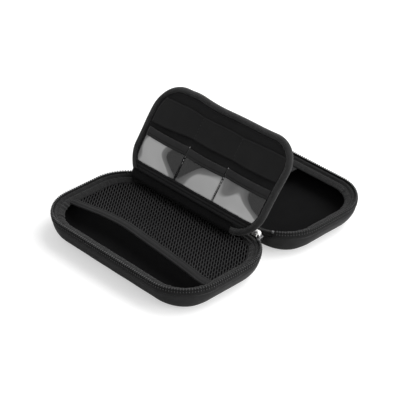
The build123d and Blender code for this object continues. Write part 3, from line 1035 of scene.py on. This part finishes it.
bm = page_sheet(110, 16, LOOP_LOW, LOOP_HIGH, loop_sides, loop_depth, 0.7 * MM)
for v in bm.verts:
    low_share = (LOOP_HIGH - PAGE_EDGE - v.co.y) / (LOOP_HIGH - LOOP_LOW)
    sag = 2.4 * max(0.0, low_share) * ease((-v.co.x - 20 * MM) / (40 * MM))
    waist = 0.7 * span_arch(v.co.x) * (2 * low_share - 1)
    v.co.y += (0.5 - sag - waist) * MM
loops = page_piece("elastic_loops", bm, loop_finish, "elastic", "divider_loops")

# %% Clear pockets and their hems
WINDOW_LOW, HEM_LOW, HEM_HIGH = mm(14.2, 33.2, 40.2)
SEAM_HALF = 0.8 * MM
pockets = list(zip(("left", "middle", "right"), spans, spans[1:], mm(0.4, -0.3, 0.6)))


def puff_at(x, left, right):
    return arch((x - left) / (right - left), 0.5)


for place_name, left, right, shift in pockets:
    def pocket_sides(h):
        sides = -page_half(h, 6.6 * MM), page_half(h, 5.2 * MM)
        return max(left + 0.4 * MM, sides[0]), min(right - 0.4 * MM, sides[1])

    def film_depth(x, h):
        share = (h - WINDOW_LOW) / (HEM_LOW - WINDOW_LOW)
        puff = puff_at(x, left, right) * (0.35 + 0.65 * share)
        return (2.0 + 1.0 * puff) * MM + 0.2 * MM * ripple(41, x, h, size=8 * MM)

    film_low, film_high = WINDOW_LOW - 0.6 * MM, HEM_LOW + 0.8 * MM + shift
    bm = page_sheet(44, 22, film_low, film_high, pocket_sides, film_depth, 0.35 * MM)
    film = page_piece(
        "clear_pocket_" + place_name, bm, vinyl_finish, "clear_vinyl", "window_" + place_name)

    def hem_depth(x, h):
        share = (h - shift - HEM_LOW) / (HEM_HIGH - HEM_LOW)
        roll = 0.75 * arch(share, 0.25) - (0.3 if 0.22 < share < 0.32 else 0.0)
        return (1.9 + 0.95 * puff_at(x, left, right) + roll) * MM

    hem_low, hem_high = HEM_LOW + shift, HEM_HIGH + shift
    bm = page_sheet(40, 24, hem_low, hem_high, pocket_sides, hem_depth, 0.9 * MM)
    for v in bm.verts:
        v.co.y -= 0.8 * MM * puff_at(v.co.x, left, right) - 0.3 * MM
    page_piece("hem_fold_" + place_name, bm, hem_finish, "trim", "hem_" + place_name)

# %% Stitched seams between the pockets
seam_low, seam_high = WINDOW_LOW - 0.4 * MM, HEM_HIGH + 0.2 * MM
for place_name, middle in zip(("left", "right"), SEAMS):
    def seam_sides(h):
        return middle - SEAM_HALF, middle + SEAM_HALF

    def seam_depth(x, h):
        side = abs(x - middle) / SEAM_HALF
        return (2.45 - 0.7 * (1 - side ** 2)) * MM

    bm = page_sheet(6, 30, seam_low, seam_high, seam_sides, seam_depth, 0.9 * MM)
    page_piece("seam_strip_" + place_name, bm, page_finish, "trim", "seam_" + place_name)


# %% Pleated strip below the pockets, and the piping of the flap
def pleat_sides(h):
    return -page_half(h, 5.6 * MM), page_half(h, 5.0 * MM)


def pleat_depth(x, h):
    share = (h - 7.0 * MM) / (7.2 * MM)
    pleat = abs(math.sin(3 * math.pi * share)) ** 0.4
    return (1.75 + 0.75 * pleat) * MM + 0.1 * MM * ripple(51, x, h, size=8 * MM)


bm = page_sheet(90, 30, 6.6 * MM, 14.4 * MM, pleat_sides, pleat_depth, 0.7 * MM)
page_piece("pleated_strip", bm, page_finish, "page_cloth", "divider_pocket_base")

angles = [math.radians(a) for a in range(0, 360, 45)]
round_rows = in_mm([(math.cos(a) * 0.5, 2.95 + math.sin(a) * 0.5) for a in angles])
piping_path = path_along(range(-59, 48, 2), lambda x: 5.3 * MM)
bm = swept(piping_path, lambda run: round_rows, closed_path=False)
page_piece("flap_piping", bm, flap_finish, "trim", "divider_piping")

# %% [markdown]
# ## Strap, spine and hinge tapes
#
# An elastic strap crosses the rear half. The spine is a narrow strip of the shell's cloth
# with a tail that carries the parked slider, and a thin tape on each rim holds it.

# %% Strap
STRAP_WIDE, STRAP_INSET = mm(18, 5.4)
bm = grid(14, 60)
for v in bm.verts:
    x, along = v.co.x * STRAP_WIDE, v.co.y + 0.5
    y = SPINE_GAP + STRAP_INSET + along * (CASE_Y - 2 * STRAP_INSET)
    sag = 0.9 * MM * arch(along, 1.0)
    v.co = Vector((x, y, 14.7 * MM - sag + 0.1 * MM * ripple(61, x, y, size=9 * MM)))
map_uv(bm, lambda spot: spot.yx)
thicken(bm, 0.7 * MM)
strap = finish_piece("elastic_strap", bm, "rear_case", elastic_finish, "elastic", "rear_strap")

# %% Spine strip with its tail
TAIL_START = 46


def spine_shape(run):
    x = (run - SPINE_HALF) / MM
    half = 3.0 - 1.4 * min(1.0, max(0.0, (x - TAIL_START) / 3))
    half *= min(1.0, 0.55 + (run / MM) / 3.3)
    rows = [
        (-1.0, 16.95), (-1.02, 17.5), (-0.93, 17.9), (-0.5, 18.05), (0.0, 18.1),
        (0.5, 18.05), (0.93, 17.9), (1.02, 17.5), (1.0, 16.95), (0.0, 16.9)]
    return [mm(share * half, height) for share, height in rows]


runs = [0, 0.5, 1, 1.5, *range(3, 94, 3), 94, 95, 96, 97, 98, 100, 102, 104.5]
bm = swept(path_along([run - 48 for run in runs]), spine_shape, closed_path=False)
finish_piece("spine_strip", bm, "spine", shell_finish, "page_cloth", "spine_panel")

# %% Hinge tapes
hinge_rows = in_mm([
    (3.45, 15.25), (3.4, 16.6), (3.5, 17.05), (3.8, 17.2), (4.1, 17.05), (4.2, 16.6),
    (4.15, 15.25)])
for half in HALVES:
    bm = swept(path_along(range(-48, 49, 3)), lambda run: hinge_rows, closed_path=False)
    half_piece(half, "_hinge_cloth", bm, tape_finish, "tape", "_hinge_tape", place=None)

# %% [markdown]
# ## Slider, stops and pull
#
# The slider is cast metal with a bright plate: two rounded plates on a post, a low crown on
# top and a bridge below, on which the pull hangs. The lower plate and the bridge take a darker
# copy of the nickel, as painted shade under the top plate. Bevels matter more than polish here,
# because a plated edge is seen by its highlight.

# %% Plates
def add_plate(bm, size, middle, corner, edge):
    """A plate with round corners in plan and softened rims, given in millimetres."""
    size, middle = mm(*size), mm(*middle)
    place = Matrix.Translation(middle) @ Matrix.Diagonal((*size, 1.0))
    made = bmesh.ops.create_cube(bm, size=1.0, matrix=place)
    edges = {e for v in made["verts"] for e in v.link_edges}
    standing = [e for e in edges if abs(e.verts[0].co.z - e.verts[1].co.z) > 1e-6]
    soften(bm, standing, corner * MM, 4)
    levels = (middle[2] - size[2] / 2, middle[2] + size[2] / 2)

    def on_plate(spot):
        return all(abs(spot[i] - middle[i]) <= size[i] / 2 + 1e-6 for i in (0, 1))

    def is_rim(edge):
        flat = any(all(abs(v.co.z - z) < 1e-7 for v in edge.verts) for z in levels)
        return flat and len(edge.link_faces) == 2 and edge.calc_face_angle() > 1.0

    edges = {e for v in bm.verts if on_plate(v.co) for e in v.link_edges}
    soften(bm, [e for e in edges if is_rim(e)], edge * MM, 2)


TOP_X, PIN_X, PIN_Z = 53.6, 56.0, 13.8
PIN = Vector(mm(PIN_X, 0, PIN_Z))
lying = Matrix.Rotation(math.radians(90), 4, "X")
bm = bmesh.new()
add_plate(bm, (6.6, 5.4, 1.1), (TOP_X, 0, 18.65), 1.9, 0.4)
for side in (-1, 1):
    for z in (17.1, 17.9):
        add_block(bm, (5.0, 0.6, 0.5), (TOP_X, side * 2.4, z), 0.12)
add_block(bm, (2.0, 2.4, 1.9), (56.3, 0, 17.7), 0.2)
crown = Matrix.Translation(mm(TOP_X + 0.3, 0, 18.9)) @ Matrix.Diagonal((*mm(3.7, 2.75, 1.6), 1.0))
bmesh.ops.create_uvsphere(bm, u_segments=28, v_segments=14, radius=1.0, matrix=crown)
finish_piece("zip_slider", bm, "spine", nickel_finish, "nickel", "slider_body")

bm = bmesh.new()
add_plate(bm, (8.6, 5.4, 1.1), (54.6, 0, 16.35), 1.6, 0.35)
finish_piece("slider_lower_plate", bm, "spine", dark_shaded_nickel_finish, "nickel")

# %% Bridge and pull
bm = bmesh.new()
for side in (-1, 1):
    add_block(bm, (3.0, 0.7, 2.95), (PIN_X, side * 1.95, 14.375), 0.25, segments=2)
bmesh.ops.create_cone(bm, cap_ends=True, segments=16, radius1=0.6 * MM, radius2=0.6 * MM,
                      depth=4.3 * MM, matrix=Matrix.Translation(PIN) @ lying)
finish_piece("slider_bridge_loop", bm, "spine", dark_shaded_nickel_finish, "nickel", "slider_bridge")


def add_ring(bm, outline, wall, half, place, edge=0.25):
    """A flat ring with softened edges. The outline's three sizes, and the rest, in millimetres."""
    rows = in_mm([
        (0.0, -half + edge), (edge, -half), (wall - edge, -half), (wall, -half + edge),
        (wall, half - edge), (wall - edge, half), (edge, half), (0.0, half - edge)])
    ring = swept(outline_frames(*mm(*outline), 0.5 * MM), lambda run: rows)
    pattern = mesh_data("ring_pattern", ring)
    add_copy(bm, pattern, place)
    bpy.data.meshes.remove(pattern)


upright = Matrix(((0, 0, 1, 0), (1, 0, 0, 0), (0, 1, 0, 0), (0, 0, 0, 1)))
bm = bmesh.new()
add_ring(bm, (4.6, 10.1, 1.3), 1.25, 0.6, Matrix.Translation(mm(PIN_X, 0, PIN_Z - 7.35)) @ upright)
add_ring(bm, (3.4, 3.4, 1.699), 0.8, 1.3, Matrix.Translation(PIN) @ lying)
add_block(bm, (1.15, 2.4, 1.6), (PIN_X, 0, PIN_Z - 1.9), 0.2)
finish_piece("zip_pull_tab", bm, "zip_pull", dark_shaded_nickel_finish, "nickel", "zip_pull")

# %% End stops of the chain
STOP_ROOM = 1.3 * MM
for half in HALVES:
    bm = bmesh.new()
    for run in (zip_begin + STOP_ROOM, zip_end - STOP_ROOM):
        add_block(bm, (2.0, 2.4, 1.4), (0, 0, 19.9), 0.3, segments=2, turn=on_the_chain(run)[0])
    half_piece(half, "_end_stops", bm, dark_shaded_nickel_finish, "nickel", "_zip_stops")

# %% [markdown]
# ## Stitches
#
# Each seam shows a row of short raised threads. One low ball, drawn out to the length of a
# stitch, is placed again and again along the seam. A stitch has few faces, because there
# are hundreds of them.

# %% One stitch and a row of them
SEAM_PITCH = 2.6
ball = bmesh.new()
bmesh.ops.create_uvsphere(ball, u_segments=6, v_segments=4, radius=0.5)
turned = Matrix.Rotation(math.radians(90), 3, "Y")
bmesh.ops.rotate(ball, cent=(0, 0, 0), matrix=turned, verts=ball.verts)
stitch_data = mesh_data("stitch_pattern", ball)


def add_stitch(bm, spot, heading=0.0, size=(1.5, 0.32, 0.3)):
    """One thread at a spot in metres. Its own length, width and height are in millimetres."""
    place = Matrix.Translation(spot) @ Matrix.Rotation(heading, 4, "Z")
    add_copy(bm, stitch_data, place @ Matrix.Diagonal((*mm(*size), 1.0)))


def seam_stitches(bm, numbers, first, height, size):
    """Threads up both seams of the page, from a first place above the page's own zero."""
    for middle in SEAMS:
        for number in numbers:
            spot = Vector((middle, first + SEAM_PITCH * number * MM, height * MM))
            add_stitch(bm, spot, math.pi / 2, size)


# %% Stitches on the page
bm = bmesh.new()
for inset, height in in_mm([(5.7, 1.3), (5.4, -1.45)]):
    for place, heading, run in outline_frames(*PAGE, 2.5 * MM):
        add_stitch(bm, frame_spot(place, heading, (inset, height)), heading)
page_piece("board_stitches", bm, thread_finish, "trim", middle=True)

bm = bmesh.new()
pitch = 2.2 * MM
for place_name, left, right, shift in pockets:
    for number in range(int((right - left) / pitch) - 1):
        x = left + (number + 1) * pitch
        puff = puff_at(x, left, right)
        y = HEM_LOW + shift + 1.3 * MM - (0.8 * MM * puff - 0.3 * MM) - PAGE_EDGE
        add_stitch(bm, Vector((x, y, (2.35 + 0.95 * puff) * MM)), size=(1.3, 0.3, 0.3))
pocket_first = 14.6 * MM - PAGE_EDGE
loop_first = LOOP_LOW - PAGE_EDGE + 1.5 * MM
seam_stitches(bm, range(5), pocket_first, 1.85, (1.5, 0.35, 0.3))
seam_stitches(bm, range(7), loop_first, 2.05, (1.5, 0.35, 0.3))
page_piece("pocket_stitches", bm, thread_finish, "trim")

# The upper stitches of each seam are real, drawn in near-white thread as a painted glint of the
# film's edge at the needle holes.
bm = bmesh.new()
seam_stitches(bm, range(5, 11), pocket_first, 1.9, (1.5, 0.5, 0.35))
page_piece("seam_end_stitches", bm, painted_glint_thread_finish, "trim")

# %% Stitches along the spine and the pocket's elastic
bm = bmesh.new()
for side in (-1, 1):
    for number in range(37):
        add_stitch(bm, Vector(mm(-45 + 2.5 * number, side * 1.9, 18.02)))
finish_piece("spine_stitches", bm, "spine", thread_finish, "trim")

bm = bmesh.new()
for number in range(55):
    x = (-67.5 + 2.5 * number) * MM
    for across in mm(-1.9, 1.95):
        spot = Vector((x, band_middle(x) + across, (16.35 + 0.9 * band_bow(x)) * MM))
        add_stitch(bm, spot, size=(1.4, 0.3, 0.3))
finish_piece("elastic_stitches", bm, "front_case", thread_finish, "trim")
bpy.data.meshes.remove(stitch_data)
